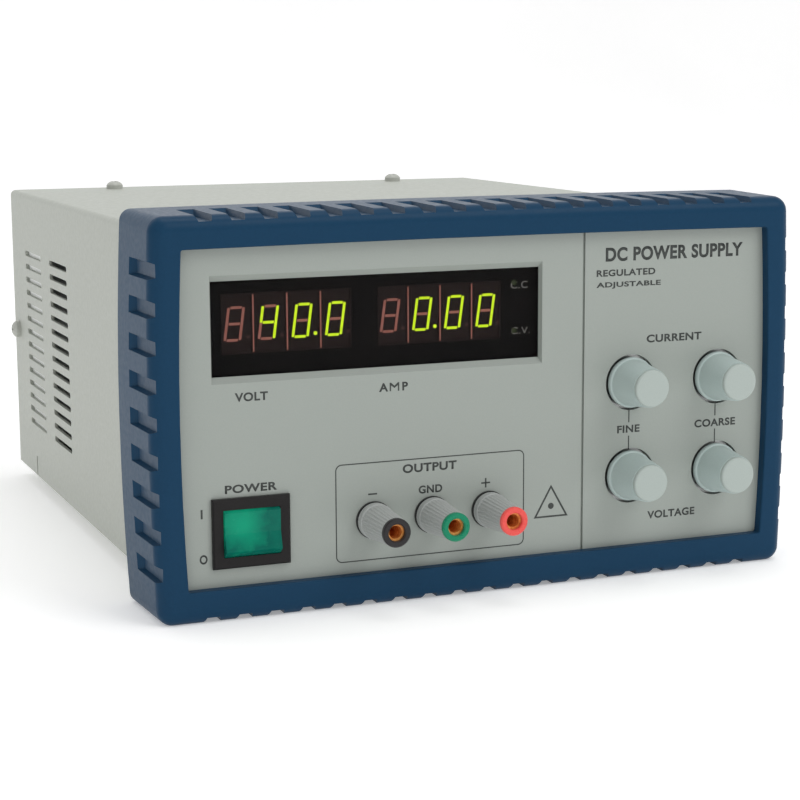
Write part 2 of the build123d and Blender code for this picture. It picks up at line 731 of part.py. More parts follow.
def heatsink(x0, x1, fin_x, y0, y1, z0, z1, step):
    """A plate standing along Y with fins on one face."""
    sink = block(x0, x1, y0, y1, z0, z1)
    near = x1 if fin_x > x1 else x0
    count = int((y1 - y0) / step)
    for k in range(count + 1):
        y = y0 + 0.8 + k * (y1 - y0 - 1.6) / count
        sink += block(near, fin_x, y - 0.8, y + 0.8, z0, z1)
    return sink


def make_heatsinks():
    left = heatsink(-97.2, -94.2, -80, 183, 222, 22, 100, 6.5)
    right = heatsink(58, 61, 74, 124, 196, BOARD_TOP, 66, 8)
    middle = heatsink(-34, -31, -24, 128, 176, BOARD_TOP, 60, 6)
    return Compound(children=[left, right, middle])


def make_transistors():
    cases = [block(53, 58, y, y + 16, 30, 50) for y in (132, 154, 176)]
    cases += [block(-39, -34, y, y + 14, 28, 46) for y in (134, 154)]
    return Compound(children=cases)


def lead(points, radius, wire):
    """An insulated lead: straight runs joined by wide arcs."""
    route = FilletPolyline(*points, radius=radius)
    start = Plane(origin=route @ 0, z_dir=route % 0)
    return sweep(start * Circle(wire), path=route)


def make_output_leads():
    leads = []
    for x in POST_X.values():
        points = [(x, STUD_BACK + 0.1, POST_Z), (x, 47, POST_Z)]
        points += [(x, 64, POST_Z + 3), (x, 64, BOARD_TOP + 0.1)]
        leads.append(lead(points, 5.0, 1.5))
    return Compound(children=leads)


def make_mains_leads():
    leads = []
    for k in (-1, 1):
        x = SWITCH_X + 5 * k
        points = [
            (x, 31.2, SWITCH_Z + 5),
            (x, 52, SWITCH_Z + 5),
            (-82 + 3 * k, 78, 20),
            (-82 + 3 * k, 120, 18),
            (-74 + 2.5 * k, 170, 24),
            (INLET_X + 6 * k - 2, 200, INLET_Z + 4),
            (INLET_X + 6 * k - 2, 212.9, INLET_Z + 4),
        ]
        leads.append(lead(points, 12.0, 1.3))
    return Compound(children=leads)


def make_fan_frame():
    front = REAR_PANEL_Y - FAN_DEEP
    half = FAN_SIZE / 2
    frame = Pos(FAN_X, FAN_Z) * RectangleRounded(FAN_SIZE, FAN_SIZE, 4)
    frame = prism(frame, front, REAR_PANEL_Y) - rod_y(FAN_X, FAN_Z, front - 1, REAR_PANEL_Y + 1, FAN_BORE)
    waist = block(-half - 1, half + 1, front + 4, REAR_PANEL_Y - 4, -half - 1, half + 1)
    waist = Pos(FAN_X, 0, FAN_Z) * waist - rod_y(FAN_X, FAN_Z, front, REAR_PANEL_Y, half - 0.6)
    frame -= waist
    frame += rod_y(FAN_X, FAN_Z, front, front + 3, 15)
    for turn in (45, 135):
        strut = Rot(0, turn, 0) * Box(2 * (FAN_BORE + 1), 3, 4)
        frame += Pos(FAN_X, front + 1.5, FAN_Z) * strut
    frame += rod_y(FAN_X, FAN_Z, front + 3, front + 18, 2)
    for x, z in fan_hole_places():
        frame -= rod_y(x, z, front - 1, REAR_PANEL_Y + 1, 2.05)
    return frame


def make_fan_rotor():
    front = REAR_PANEL_Y - FAN_DEEP
    rotor = rod_y(0, 0, front + 3.5, front + 22.5, 16)
    rotor = fillet(rotor.faces().sort_by(Axis.Y)[-1].edges(), 1.5)
    blade = Box(22.5, 1.6, 19)
    for k in range(7):
        turn = 360 * k / 7
        tilted = Pos(25.5, front + 13, 0) * Rot(38, 0, 0) * blade
        rotor += Rot(0, turn, 0) * tilted
    ring = rod_y(0, 0, front + 1, front + 25, 36.8)
    rotor = rotor & ring
    rotor -= rod_y(0, 0, front + 3, front + 19, 2 + RUN_GAP)
    return Pos(FAN_X, 0, FAN_Z) * rotor


def make_fan_guard():
    """Finger guard: wire rings on four spokes that end in screw eyes."""
    plane_y = REAR_FACE + 2.8
    guard = None
    for radius in (11, 18, 25, 32, 39):
        ring = Pos(FAN_X, plane_y, FAN_Z) * Rot(90, 0, 0) * Torus(radius, GUARD_WIRE)
        guard = ring if guard is None else guard + ring
    reach = FAN_HOLES / 2 * sqrt(2)
    for k in range(4):
        angle = 45 + 90 * k
        spoke = Pos((8 + reach) / 2, 0, 0) * Rot(0, 90, 0) * Cylinder(GUARD_WIRE, reach - 8)
        guard += Pos(FAN_X, plane_y + 0.5, FAN_Z) * Rot(0, angle, 0) * spoke
    for x, z in fan_hole_places():
        guard += rod_y(x, z, REAR_FACE, REAR_FACE + 3.4, 3.6)
    for x, z in fan_hole_places():
        guard -= rod_y(x, z, REAR_FACE - 1, REAR_FACE + 5, 2.1)
        guard -= rod_y(x, z, REAR_FACE + 1.6, REAR_FACE + 5, 3.4)
    return guard


def make_inlet():
    """Mains inlet with a fuse drawer slot below its socket."""
    flange = Pos(INLET_X, INLET_Z) * RectangleRounded(31, 46, 2)
    shell = prism(flange, REAR_FACE, INLET_FACE)
    shell += block(INLET_X - 14, INLET_X + 14, INLET_BACK, REAR_FACE, INLET_Z - 20, INLET_Z + 20)
    mouth = Rectangle(24.4, 16.6)
    mouth = Pos(INLET_X, INLET_Z + 7.5) * chamfer(mouth.vertices().group_by(Axis.Y)[-1], 4.0)
    shell -= prism(mouth, INLET_FACE - SOCKET_DEPTH, INLET_FACE + 1)
    slot_back = INLET_FACE - DRAWER_DEPTH - 0.3
    shell -= block(
        INLET_X - 11.2, INLET_X + 11.2, slot_back, INLET_FACE + 1, INLET_Z - 17.2, INLET_Z - 7.8
    )
    return shell


def make_inlet_pins():
    pins = []
    back = INLET_FACE - SOCKET_DEPTH
    for x, z in ((-7, 5), (7, 5), (0, 9.5)):
        pin = block(x - 1, x + 1, back, back + PIN_LONG, z - 2, z + 2)
        pins.append(Pos(INLET_X, 0, INLET_Z) * pin)
    return pins


def make_fuse_drawer():
    face = INLET_FACE
    low = INLET_Z - 17.0
    drawer = block(INLET_X - 11, INLET_X + 11, face - DRAWER_DEPTH, face, low, low + 9)
    drawer -= block(INLET_X - 2.9, INLET_X + 2.9, face - 24, face - 3, low + 2, low + 10)
    drawer -= block(INLET_X - 5, INLET_X + 5, face - 0.8, face + 1, low + 3.4, low + 5.2)
    return drawer


def make_fuse():
    low = INLET_Z - 17.0
    return rod_y(INLET_X, low + 4.6, INLET_FACE - 23.6, INLET_FACE - 3.4, 2.5)


def make_selector():
    flange = block(INLET_X - 15.5, INLET_X + 15.5, REAR_FACE, REAR_FACE + 1, SELECTOR_Z - 7, SELECTOR_Z + 7)
    body = block(INLET_X - 9, INLET_X + 9, 228, REAR_FACE, SELECTOR_Z - 5, SELECTOR_Z + 5)
    slot = block(INLET_X - 6, INLET_X + 6, 233, REAR_FACE + 2, SELECTOR_Z - 3, SELECTOR_Z + 3)
    shape = flange + body - slot
    for x in (INLET_X - SELECTOR_SCREW_X, INLET_X + SELECTOR_SCREW_X):
        shape -= rod_y(x, SELECTOR_Z, REAR_FACE - 1, REAR_FACE + 2, SCREW_SHANK + 0.1)
    return shape


def make_selector_slider():
    x0 = INLET_X - 5.9
    slider = block(x0, x0 + 6, 233.1, REAR_FACE + 0.6, SELECTOR_Z - 2.9, SELECTOR_Z + 2.9)
    groove = block(x0 + 2.5, x0 + 3.5, REAR_FACE - 0.4, REAR_FACE + 2, SELECTOR_Z - 4, SELECTOR_Z + 4)
    return slider - groove


def make_case_screws():
    screws = [screw(seat, out, 5.0, dome=COVER_SCREW_DOME) for seat, out in cover_screw_places()]
    back = (0, 1, 0)
    screws += [screw((x, REAR_FACE + 1.6, z), back, 12.0, 3.1, 1.9) for x, z in fan_hole_places()]
    for x in (INLET_X - SELECTOR_SCREW_X, INLET_X + SELECTOR_SCREW_X):
        screws.append(screw((x, REAR_FACE + 1.0, SELECTOR_Z), back, 5.0, 2.8))
    for x in (-FOOT_X, FOOT_X):
        screws.append(screw((x, FOOT_Y, 2.6), (0, 0, -1), 7.0))
    return Compound(children=screws)


os.makedirs("parts", exist_ok=True)

place(make_bezel(), "bezel_frame")
place(make_front_panel(), "front_panel")
place(make_display_filter(), "display_filter")
place(make_subpanel(), "front_subpanel")
place(make_cover(), "top_cover")
place(make_pan(), "chassis_pan")
place(make_rear_panel(), "rear_panel")
place(make_feet(), "rear_feet")
place(make_case_screws(), "case_screws")
place(make_display(VOLT_X), "volt_display")
place(make_display(AMP_X), "amp_display")
place(make_leds(), "mode_leds")
place(make_front_boards(), "front_boards")
place(make_standoffs(), "board_standoffs")
place(make_main_board(), "main_board")
place(make_transformer(), "transformer_core")
place(make_transformer_winding(), "transformer_winding")
place(make_chokes(), "chokes")
place(make_capacitors(), "capacitors")
place(make_heatsinks(), "heatsinks")
place(make_transistors(), "power_transistors")
place(make_output_leads(), "output_leads")
place(make_mains_leads(), "mains_leads")
place(make_switch_housing(), "switch_housing")
place(make_rocker(), "switch_rocker")
place(make_switch_lamp(), "switch_lamp")
place(make_pots(), "potentiometers")
place(Compound(children=make_pot_nuts() + make_post_nuts()), "panel_nuts")
for row, z_knob in KNOB_ROWS.items():
    for column, x_knob in KNOB_COLUMNS.items():
        place(make_knob(x_knob, z_knob), f"{row}_{column}_knob")
        place(make_knob_cap(x_knob, z_knob), f"{row}_{column}_knob_cap")
        place(make_shaft(x_knob, z_knob), f"{row}_{column}_shaft")
place(Compound(children=[make_stud(x) for x in POST_X.values()]), "binding_post_studs")
place(make_post_seats(), "binding_post_seats")
for colour, x_post in POST_X.items():
    place(make_post_cap(x_post), f"{colour}_post_grip")
    place(make_post_ring(x_post), f"{colour}_post_ring")
    place(make_post_washer(x_post), f"{colour}_post_washer")
place(make_fan_frame(), "fan_frame")
place(make_fan_rotor(), "fan_rotor")
place(make_fan_guard(), "fan_guard")
place(make_inlet(), "inlet_housing")
place(Compound(children=make_inlet_pins() + make_switch_terminals()), "mains_terminals")
place(make_fuse_drawer(), "fuse_drawer")
place(make_fuse(), "fuse")
place(make_selector(), "selector_housing")
place(make_selector_slider(), "selector_slider")
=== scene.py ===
"""Looks of the bench power supply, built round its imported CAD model.

Metres in the CAD frame: X to the viewer's right, Y from front to back, Z up. Most sizes are given in
millimetres from the bezel's front face, and at() turns them into the frame's metres.
"""
import json
import math

import bmesh
import bpy
from mathutils import Matrix, Vector


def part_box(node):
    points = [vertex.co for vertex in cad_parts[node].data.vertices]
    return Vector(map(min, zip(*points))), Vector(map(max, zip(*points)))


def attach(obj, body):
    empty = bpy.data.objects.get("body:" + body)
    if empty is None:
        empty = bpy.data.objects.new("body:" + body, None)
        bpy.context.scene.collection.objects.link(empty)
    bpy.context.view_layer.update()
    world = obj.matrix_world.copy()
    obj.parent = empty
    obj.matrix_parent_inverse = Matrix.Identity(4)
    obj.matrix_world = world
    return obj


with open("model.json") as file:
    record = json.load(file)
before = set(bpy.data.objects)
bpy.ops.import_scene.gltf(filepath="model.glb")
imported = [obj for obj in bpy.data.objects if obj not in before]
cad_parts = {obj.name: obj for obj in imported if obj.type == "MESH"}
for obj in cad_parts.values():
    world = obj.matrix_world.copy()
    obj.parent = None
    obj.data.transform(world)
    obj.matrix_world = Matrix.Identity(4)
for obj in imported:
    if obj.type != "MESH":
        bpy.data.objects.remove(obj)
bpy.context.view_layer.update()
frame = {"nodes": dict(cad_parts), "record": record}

MM = 0.001
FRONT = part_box("bezel_frame")[0].y
PANEL_FACE = (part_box("front_panel")[0].y - FRONT) / MM
INK = 0.03


def at(x, y, z):
    """A point in millimetres, with depth from the bezel's front face, in the frame's metres."""
    return Vector((x * MM, FRONT + y * MM, z * MM))


def srgb(code, alpha=1.0):
    """A colour such as '24425f' as linear values."""
    values = [int(code[i : i + 2], 16) / 255 for i in (0, 2, 4)]
    linear = [v / 12.92 if v <= 0.04045 else ((v + 0.055) / 1.055) ** 2.4 for v in values]
    return (*linear, alpha)


# ---------------------------------------------------------------- materials


class Finish:
    """A principled material with procedural detail in object space."""

    def __init__(self, name, **sockets):
        self.material = bpy.data.materials.new(name)
        self.material.use_nodes = True
        self.tree = self.material.node_tree
        self.shader = self.tree.nodes["Principled BSDF"]
        self.coordinates = self.tree.nodes.new("ShaderNodeTexCoord").outputs["Object"]
        self.last_normal = None
        for socket, value in sockets.items():
            self.shader.inputs[socket.replace("_", " ")].default_value = value

    def node(self, kind, inputs=None, **settings):
        made = self.tree.nodes.new(kind)
        for key, value in settings.items():
            setattr(made, key, value)
        for key, value in (inputs or {}).items():
            if isinstance(value, bpy.types.NodeSocket):
                self.tree.links.new(value, made.inputs[key])
            else:
                made.inputs[key].default_value = value
        return made

    def stretched(self, stretch):
        mapping = self.node("ShaderNodeMapping", {"Vector": self.coordinates})
        mapping.inputs["Scale"].default_value = stretch
        return mapping.outputs["Vector"]

    def noise(self, scale, detail=3.0, stretch=None):
        vector = self.stretched(stretch) if stretch else self.coordinates
        made = self.node("ShaderNodeTexNoise", {"Vector": vector, "Scale": scale, "Detail": detail})
        return made.outputs["Fac"]

    def between(self, factor, low, high, start=0.35, end=0.65):
        """A value or a colour that goes from low to high as factor goes from start to end."""
        ramp = self.node("ShaderNodeValToRGB", {"Fac": factor})
        ends = ramp.color_ramp.elements
        for stop, place, value in ((ends[0], start, low), (ends[1], end, high)):
            stop.position = place
            stop.color = value if isinstance(value, tuple) else (value, value, value, 1)
        return ramp.outputs["Color"]

    def colour(self, factor, low, high, start=0.35, end=0.65):
        made = self.between(factor, low, high, start, end)
        self.tree.links.new(made, self.shader.inputs["Base Color"])
        return self

    def roughness(self, factor, low, high):
        made = self.between(factor, low, high)
        self.tree.links.new(made, self.shader.inputs["Roughness"])
        return self

    def bump(self, factor, height):
        """Relief of that height in metres."""
        inputs = {"Height": factor, "Distance": height, "Strength": 1.0}
        if self.last_normal:
            inputs["Normal"] = self.last_normal
        self.last_normal = self.node("ShaderNodeBump", inputs).outputs["Normal"]
        self.tree.links.new(self.last_normal, self.shader.inputs["Normal"])
        return self


def moulded(name, dark, light, rough=(0.38, 0.5), grain=2600, height=0.00003, **sockets):
    """Moulded plastic: a fine texture, faint colour variation and slightly uneven gloss."""
    finish = Finish(name, **sockets)
    finish.colour(finish.noise(grain, 2), srgb(dark), srgb(light), 0.2, 0.8)
    finish.roughness(finish.noise(700, 5), *rough)
    finish.bump(finish.noise(grain, 2), height)
    return finish


def painted(name, dark, light, rough=(0.42, 0.55)):
    """Sheet metal with a fine textured paint over a slight orange peel."""
    finish = Finish(name)
    finish.colour(finish.noise(1100, 3), srgb(dark), srgb(light), 0.2, 0.8)
    finish.roughness(finish.noise(600, 4), *rough)
    finish.bump(finish.noise(1100, 3), 0.000012)
    return finish


def metal(name, dark, light, rough=(0.22, 0.38), stretch=(1, 1, 1), grain=900, height=0.000006, **sockets):
    """Bare or plated metal with fine tool marks along one direction."""
    finish = Finish(name, **{"Metallic": 1.0, **sockets})
    marks = finish.noise(grain, 4, stretch)
    finish.colour(marks, srgb(dark), srgb(light))
    finish.roughness(finish.noise(grain / 3, 4, stretch), *rough)
    finish.bump(marks, height)
    return finish


def board_finish(name):
    """Green solder mask with traces and pads showing through."""
    finish = Finish(name, Coat_Weight=0.4, Coat_Roughness=0.15)
    traces = finish.node(
        "ShaderNodeTexBrick",
        {"Vector": finish.coordinates, "Scale": 130.0, "Mortar Size": 0.04},
    )
    finish.colour(traces.outputs["Fac"], srgb("1d5a36"), srgb("3a8a4c"), 0.2, 0.8)
    finish.roughness(finish.noise(400), 0.3, 0.45)
    finish.bump(traces.outputs["Fac"], 0.00002)
    return finish


def make_finishes():
    """One finish for each of the record's material slots."""
    made = {
        "bezel_blue": moulded(
            "bezel_blue", "183b56", "1a3e5a", (0.3, 0.38), 1400, 0.000001, Specular_IOR_Level=0.08
        ),
        "panel_grey": moulded("panel_grey", "9aa19b", "a0a6a0", (0.42, 0.52), 3000, 0.000008),
        "chassis_steel": metal("chassis_steel", "a9abab", "c6c8c6", (0.3, 0.45), (1, 6, 1), 500),
        "case_paint": painted("case_paint", "a9ada5", "b0b4ab"),
        "foot_rubber": moulded("foot_rubber", "141414", "1f1f1f", (0.7, 0.85), 1500, 0.00005),
        "screw_nickel": painted("screw_nickel", "aeb0a9", "bdbfb8", (0.3, 0.42)),
        "display_black": moulded(
            "display_black", "30201e", "392725", (0.5, 0.6), Specular_IOR_Level=0.2
        ),
        "led_lens": moulded("led_lens", "55633f", "647548", (0.12, 0.2)),
        "circuit_board": board_finish("circuit_board"),
        "ferrite": moulded("ferrite", "2c2c2e", "3b3b3d", (0.5, 0.7), 900, 0.00005),
        "winding_tape": moulded("winding_tape", "b8962a", "cdaa3c", (0.2, 0.35)),
        "capacitor_sleeve": moulded("capacitor_sleeve", "1a1f2b", "252c3b", (0.15, 0.3)),
        "lead_jacket": moulded("lead_jacket", "7a1f1a", "8f2a23", (0.35, 0.5)),
        "switch_black": moulded(
            "switch_black", "191717", "201e1e", (0.32, 0.42), 2600, 0.00002, Specular_IOR_Level=0.2
        ),
        "terminal_nickel": metal("terminal_nickel", "a9a69f", "cfccc4", (0.2, 0.3)),
        "insulator_black": moulded("insulator_black", "1c1c1c", "282828", (0.4, 0.55)),
        "fan_black": moulded("fan_black", "1b1b1c", "262628", (0.4, 0.55), 1600, 0.00003),
        "guard_wire": metal("guard_wire", "b9bbbd", "dcdde0", (0.12, 0.22)),
        "inlet_black": moulded("inlet_black", "191919", "242425", (0.38, 0.5), 2000, 0.00003),
        "selector_red": moulded("selector_red", "a31f18", "b92a20", (0.3, 0.4)),
        "knob_grey": moulded("knob_grey", "b0bfbc", "b7c6c3", (0.34, 0.44), 2600, 0.00001),
        "knob_cap_grey": moulded("knob_cap_grey", "a7b2ad", "aeb8b3", (0.4, 0.5), 2800, 0.00001),
        "shaft_metal": metal("shaft_metal", "b5b6b6", "d0d1d1"),
        "post_grey": moulded("post_grey", "aaadab", "b4b7b5", (0.36, 0.48), 2400, 0.00002),
        "ring_black": moulded("ring_black", "262425", "302e2f", (0.28, 0.38), Specular_IOR_Level=0.25),
        "ring_green": moulded("ring_green", "0a7a58", "108a66", (0.25, 0.35), Specular_IOR_Level=0.25),
        "ring_red": moulded("ring_red", "e8504b", "f0605a", (0.25, 0.35), Specular_IOR_Level=0.25),
        # Brass of the posts: its own colour, lightened with a painted glow that stands in for light
        # bouncing inside the socket bores.
        "post_brass": metal("post_brass", "d98236", "ffb968", (0.45, 0.6), Metallic=0.3),
    }
    copper = Finish("copper_wire", Metallic=1.0, Coat_Weight=0.6, Coat_Roughness=0.1)
    turns = copper.node("ShaderNodeTexWave", {"Vector": copper.coordinates, "Scale": 420.0})
    copper.colour(turns.outputs["Fac"], srgb("7b3a1c"), srgb("c47a48"))
    copper.roughness(turns.outputs["Fac"], 0.25, 0.4).bump(turns.outputs["Fac"], 0.0004)
    made["copper_wire"] = copper
    # Heatsink plate behind the rear vent slots: made near white and barely metallic, a painted light that
    # offsets the shade behind the slots.
    made["heatsink_aluminium"] = metal(
        "heatsink_aluminium", "e2e4e2", "eff1ef", (0.5, 0.6), (1, 1, 8), Metallic=0.1
    )
    made["filter_smoke"] = smoked_filter()
    made["lamp_glass"] = clear_glass()
    made["switch_lens"] = lit_lens()
    return made


def smoked_filter():
    """Dark acrylic that lets the digits behind it show."""
    finish = Finish("filter_smoke", Alpha=0.3, IOR=1.49, Specular_IOR_Level=0.14)
    finish.colour(finish.noise(40), srgb("0b0909"), srgb("130f0e"))
    finish.roughness(finish.noise(90, 4), 0.05, 0.09)
    return finish


def clear_glass():
    finish = Finish("lamp_glass", Alpha=0.45, IOR=1.45)
    finish.colour(finish.noise(300), srgb("c9d6cf"), srgb("e3ece7"))
    finish.roughness(finish.noise(200), 0.05, 0.1)
    return finish


LAMP_LEFT = 3.2
LAMP_UP = 2.6
GLOW_FADE = 140.0


def lit_lens():
    """Green translucent moulding, brighter where the lamp stands behind it."""
    finish = Finish("switch_lens", Specular_IOR_Level=0.12, Emission_Strength=0.42)
    cloud = finish.noise(170, 3)
    finish.colour(cloud, srgb("03564a"), srgb("066655"))
    finish.roughness(finish.noise(400), 0.16, 0.28)
    low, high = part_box("switch_rocker")
    middle = (low + high) / 2
    lamp = Vector((middle.x - LAMP_LEFT * MM, middle.y, middle.z + LAMP_UP * MM))
    distance = finish.node(
        "ShaderNodeVectorMath", {0: finish.coordinates, 1: tuple(lamp)}, operation="DISTANCE"
    )
    spread = finish.node(
        "ShaderNodeMath", {0: distance.outputs["Value"], 1: GLOW_FADE}, operation="MULTIPLY"
    )
    shaken = finish.node("ShaderNodeMath", {0: spread.outputs[0], 1: cloud}, operation="MULTIPLY")
    glow = finish.between(shaken.outputs[0], srgb("16c890"), srgb("02382f"), 0.08, 0.62)
    finish.tree.links.new(glow, finish.shader.inputs["Emission Color"])
    return finish


def finish_cad_nodes(finishes):
    """Give every CAD node the finish of its slot in the record."""
    for row in frame["record"]["subparts"]:
        node = frame["nodes"][row["node"]]
        node.data.materials.clear()
        node.data.materials.append(finishes[row["material_slot"]].material)


# ---------------------------------------------------------------- mesh helpers


def piece(name, mesh, finish, body="case"):
    """Link a mesh as a named piece with its finish, riding on a body."""
    made = bpy.data.objects.new(name, mesh)
    bpy.context.scene.collection.objects.link(made)
    mesh.materials.clear()
    mesh.materials.append(finish.material)
    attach(made, body)
    return made


def add_extruded(shape, made, faces, depth):
    """Thicken flat faces by a depth in millimetres, and add the closed solids to a bmesh."""
    extruded = bmesh.ops.extrude_face_region(made, geom=faces)
    moved = [v for v in extruded["geom"] if isinstance(v, bmesh.types.BMVert)]
    bmesh.ops.translate(made, verts=moved, vec=(0, depth * MM, 0))
    bmesh.ops.recalc_face_normals(made, faces=made.faces)
    part = bpy.data.meshes.new("part")
    made.to_mesh(part)
    made.free()
    shape.from_mesh(part)
    bpy.data.meshes.remove(part)


def outline_prism(shape, loops, y0, y1):
    """Add to a bmesh the solid between two depths of an outline in X and Z, with holes as further loops."""
    made = bmesh.new()
    edges = []
    for loop in loops:
        corners = [made.verts.new(at(x, y0, z)) for x, z in loop]
        for a, b in zip(corners, corners[1:] + corners[:1]):
            edges.append(made.edges.new((a, b)))
    filled = bmesh.ops.triangle_fill(made, use_beauty=True, use_dissolve=False, edges=edges)
    faces = [f for f in filled["geom"] if isinstance(f, bmesh.types.BMFace)]
    add_extruded(shape, made, faces, y1 - y0)


def rounded(x0, x1, z0, z1, radius, steps=6):
    """Corner points of a rectangle with round corners."""
    points = []
    corners = ((x1, z1, 0), (x0, z1, 90), (x0, z0, 180), (x1, z0, 270))
    for x, z, start in corners:
        cx = x - math.copysign(radius, x - (x0 + x1) / 2)
        cz = z - math.copysign(radius, z - (z0 + z1) / 2)
        for k in range(steps + 1):
            a = math.radians(start + 90 * k / steps)
            points.append((cx + radius * math.cos(a), cz + radius * math.sin(a)))
    return points


def disc(x, z, radius, count):
    """Points round a circle."""
    turns = [2 * math.pi * k / count for k in range(count)]
    return [(x + radius * math.cos(a), z + radius * math.sin(a)) for a in turns]


def letter_m(x0, x1, z0, z1, stroke):
    """Outline of a plain capital M, whose two slopes meet at a third of its height."""
    middle = (x0 + x1) / 2
    dip = z0 + (z1 - z0) * 0.35
    slope = stroke * 1.3
    armpit = z1 - slope * 1.5
    notch = dip + slope * 1.2
    left = [(x0, z0), (x0 + stroke, z0), (x0 + stroke, armpit), (middle, dip)]
    right = [(x1 - stroke, armpit), (x1 - stroke, z0), (x1, z0), (x1, z1)]
    top = [(x1 - stroke, z1), (middle, notch), (x0 + stroke, z1), (x0, z1)]
    return left + right + top


def mesh_of(shape, name):
    mesh = bpy.data.meshes.new(name)
    shape.to_mesh(mesh)
    shape.free()
    return mesh


def add_bar(shape, x0, x1, z0, z1, y0, y1):
    outline_prism(shape, [[(x0, z0), (x1, z0), (x1, z1), (x0, z1)]], y0, y1)


LETTER_SPACING = 1.08


def add_text(shape, words, x0, x1, z0, z1, face, weight=0.0):
    """Lettering of a set width and height, standing on a face that looks to the front."""
    curve = bpy.data.curves.new("letters", "FONT")
    curve.body = words
    curve.space_character = LETTER_SPACING
    curve.offset = weight
    maker = bpy.data.objects.new("letters", curve)
    bpy.context.scene.collection.objects.link(maker)
    bpy.context.view_layer.update()
    graph = bpy.context.evaluated_depsgraph_get()
    flat = bpy.data.meshes.new_from_object(maker.evaluated_get(graph))
    bpy.data.objects.remove(maker)
    letters = bmesh.new()
    letters.from_mesh(flat)
    bpy.data.meshes.remove(flat)
    bmesh.ops.remove_doubles(letters, verts=letters.verts, dist=1e-5)
    xs = [v.co.x for v in letters.verts]
    ys = [v.co.y for v in letters.verts]
    wide = (x1 - x0) / (max(xs) - min(xs))
    high = (z1 - z0) / (max(ys) - min(ys))
    for v in letters.verts:
        v.co = at(x0 + (v.co.x - min(xs)) * wide, face, z0 + (v.co.y - min(ys)) * high)
    add_extruded(shape, letters, letters.faces[:], -INK)


# ---------------------------------------------------------------- front panel


TITLE_WEIGHT = 0.035
LEGEND_WEIGHT = 0.03
TIE_LINES = (49.3, 80.7)
TIE_HALF = 0.2
SIGN_MIDDLE = 22.05
SIGN_DOT = 24.9


def make_legends():
    """Printed legends, tie lines and frames on the front panel."""
    ink = Finish("legend_ink")
    ink.colour(ink.noise(900), srgb("2f3331"), srgb("3b403d"))
    ink.roughness(ink.noise(500), 0.45, 0.6)
    face = PANEL_FACE
    words = bmesh.new()
    rows = [
        ("VOLT", -80.6, -70.5, 64.9, 67.5),
        ("A", -35.5, -32.6, 64.9, 67.5),
        ("P", -28.0, -26.2, 64.9, 67.5),
        ("POWER", -84.2, -68.1, 37.8, 40.3),
        ("O", -92.3, -89.9, 17.3, 20.1),
        ("OUTPUT", -28.0, -10.2, 39.4, 42.1),
        ("GND", -22.8, -15.0, 32.6, 35.1),
        ("CURRENT", 55.3, 75.1, 74.7, 77.2),
        ("FINE", 45.2, 53.2, 46.3, 48.7),
        ("COARSE", 73.2, 88.3, 46.1, 48.6),
        ("VOLTAGE", 56.5, 73.8, 17.6, 20.1),
        ("REGULATED", 37.3, 58.0, 96.3, 98.4),
        ("ADJUSTABLE", 37.3, 60.0, 92.4, 94.5),
    ]
    for text, x0, x1, z0, z1 in rows:
        add_text(words, text, x0, x1, z0, z1, face, LEGEND_WEIGHT)
    outline_prism(words, [letter_m(-32.1, -29.0, 64.9, 67.5, 0.45)], face - INK, face)
    add_text(words, "DC POWER SUPPLY", 40.4, 89.6, 100.9, 105.3, face, TITLE_WEIGHT)
    add_bar(words, -91.7, -91.1, 30.9, 33.7, face - INK, face)
    add_bar(words, -39.3, -36.4, 33.6, 34.1, face - INK, face)
    add_bar(words, -1.9, 1.1, 33.95, 34.45, face - INK, face)
    add_bar(words, -0.65, -0.15, 32.7, 35.7, face - INK, face)
    for x in TIE_LINES:
        add_bar(words, x - TIE_HALF, x + TIE_HALF, 49.6, 54.2, face - INK, face)
        add_bar(words, x - TIE_HALF, x + TIE_HALF, 40.9, 45.3, face - INK, face)
    frame_out = rounded(-49.8, 12.7, 13.4, 43.7, 2.0)
    frame_in = rounded(-49.45, 12.35, 13.75, 43.35, 1.65)
    outline_prism(words, [frame_out, frame_in], face - INK, face)
    piece("panel_legends", mesh_of(words, "panel_legends"), ink)
    sign = bmesh.new()
    outer = [(16.1, 21.3), (28.0, 21.3), (SIGN_MIDDLE, 31.7)]
    inner = [(17.1, 21.85), (27.0, 21.85), (SIGN_MIDDLE, 30.55)]
    outline_prism(sign, [outer, inner], face - INK, face)
    outline_prism(sign, [disc(SIGN_MIDDLE, SIGN_DOT, 1.0, 20)], face - INK, face)
    piece("panel_sign", mesh_of(sign, "panel_sign"), ink)


# ---------------------------------------------------------------- display


# Place of each bar across and up the digit, as shares of its size, and which way the bar lies.
SEGMENTS = {
    "a": (0.5, 1.0, "flat"),
    "b": (1.0, 0.75, "tall"),
    "c": (1.0, 0.25, "tall"),
    "d": (0.5, 0.0, "flat"),
    "e": (0.0, 0.25, "tall"),
    "f": (0.0, 0.75, "tall"),
    "g": (0.5, 0.5, "flat"),
}
LIT_BY_SIGN = {" ": "", "0": "abcdef", "4": "bcfg"}
DIGIT_WIDE = 4.6
DIGIT_HIGH = 9.6
DIGIT_PITCH = 10.5
DIGIT_SHIFT = -0.45
POINT_SHIFT = 4.8
POINT_RADIUS = 0.58
SEGMENT_WIDE = 0.78
SEGMENT_GAP = 0.2
SEGMENT_CUT = 0.12
WINDOW_DEPTH = 0.12
WINDOW_SET_BACK = 0.4
SEPARATOR_HALF = 0.2
SEPARATOR_PROUD = 0.06
DIGIT_SLANT = math.tan(math.radians(8))


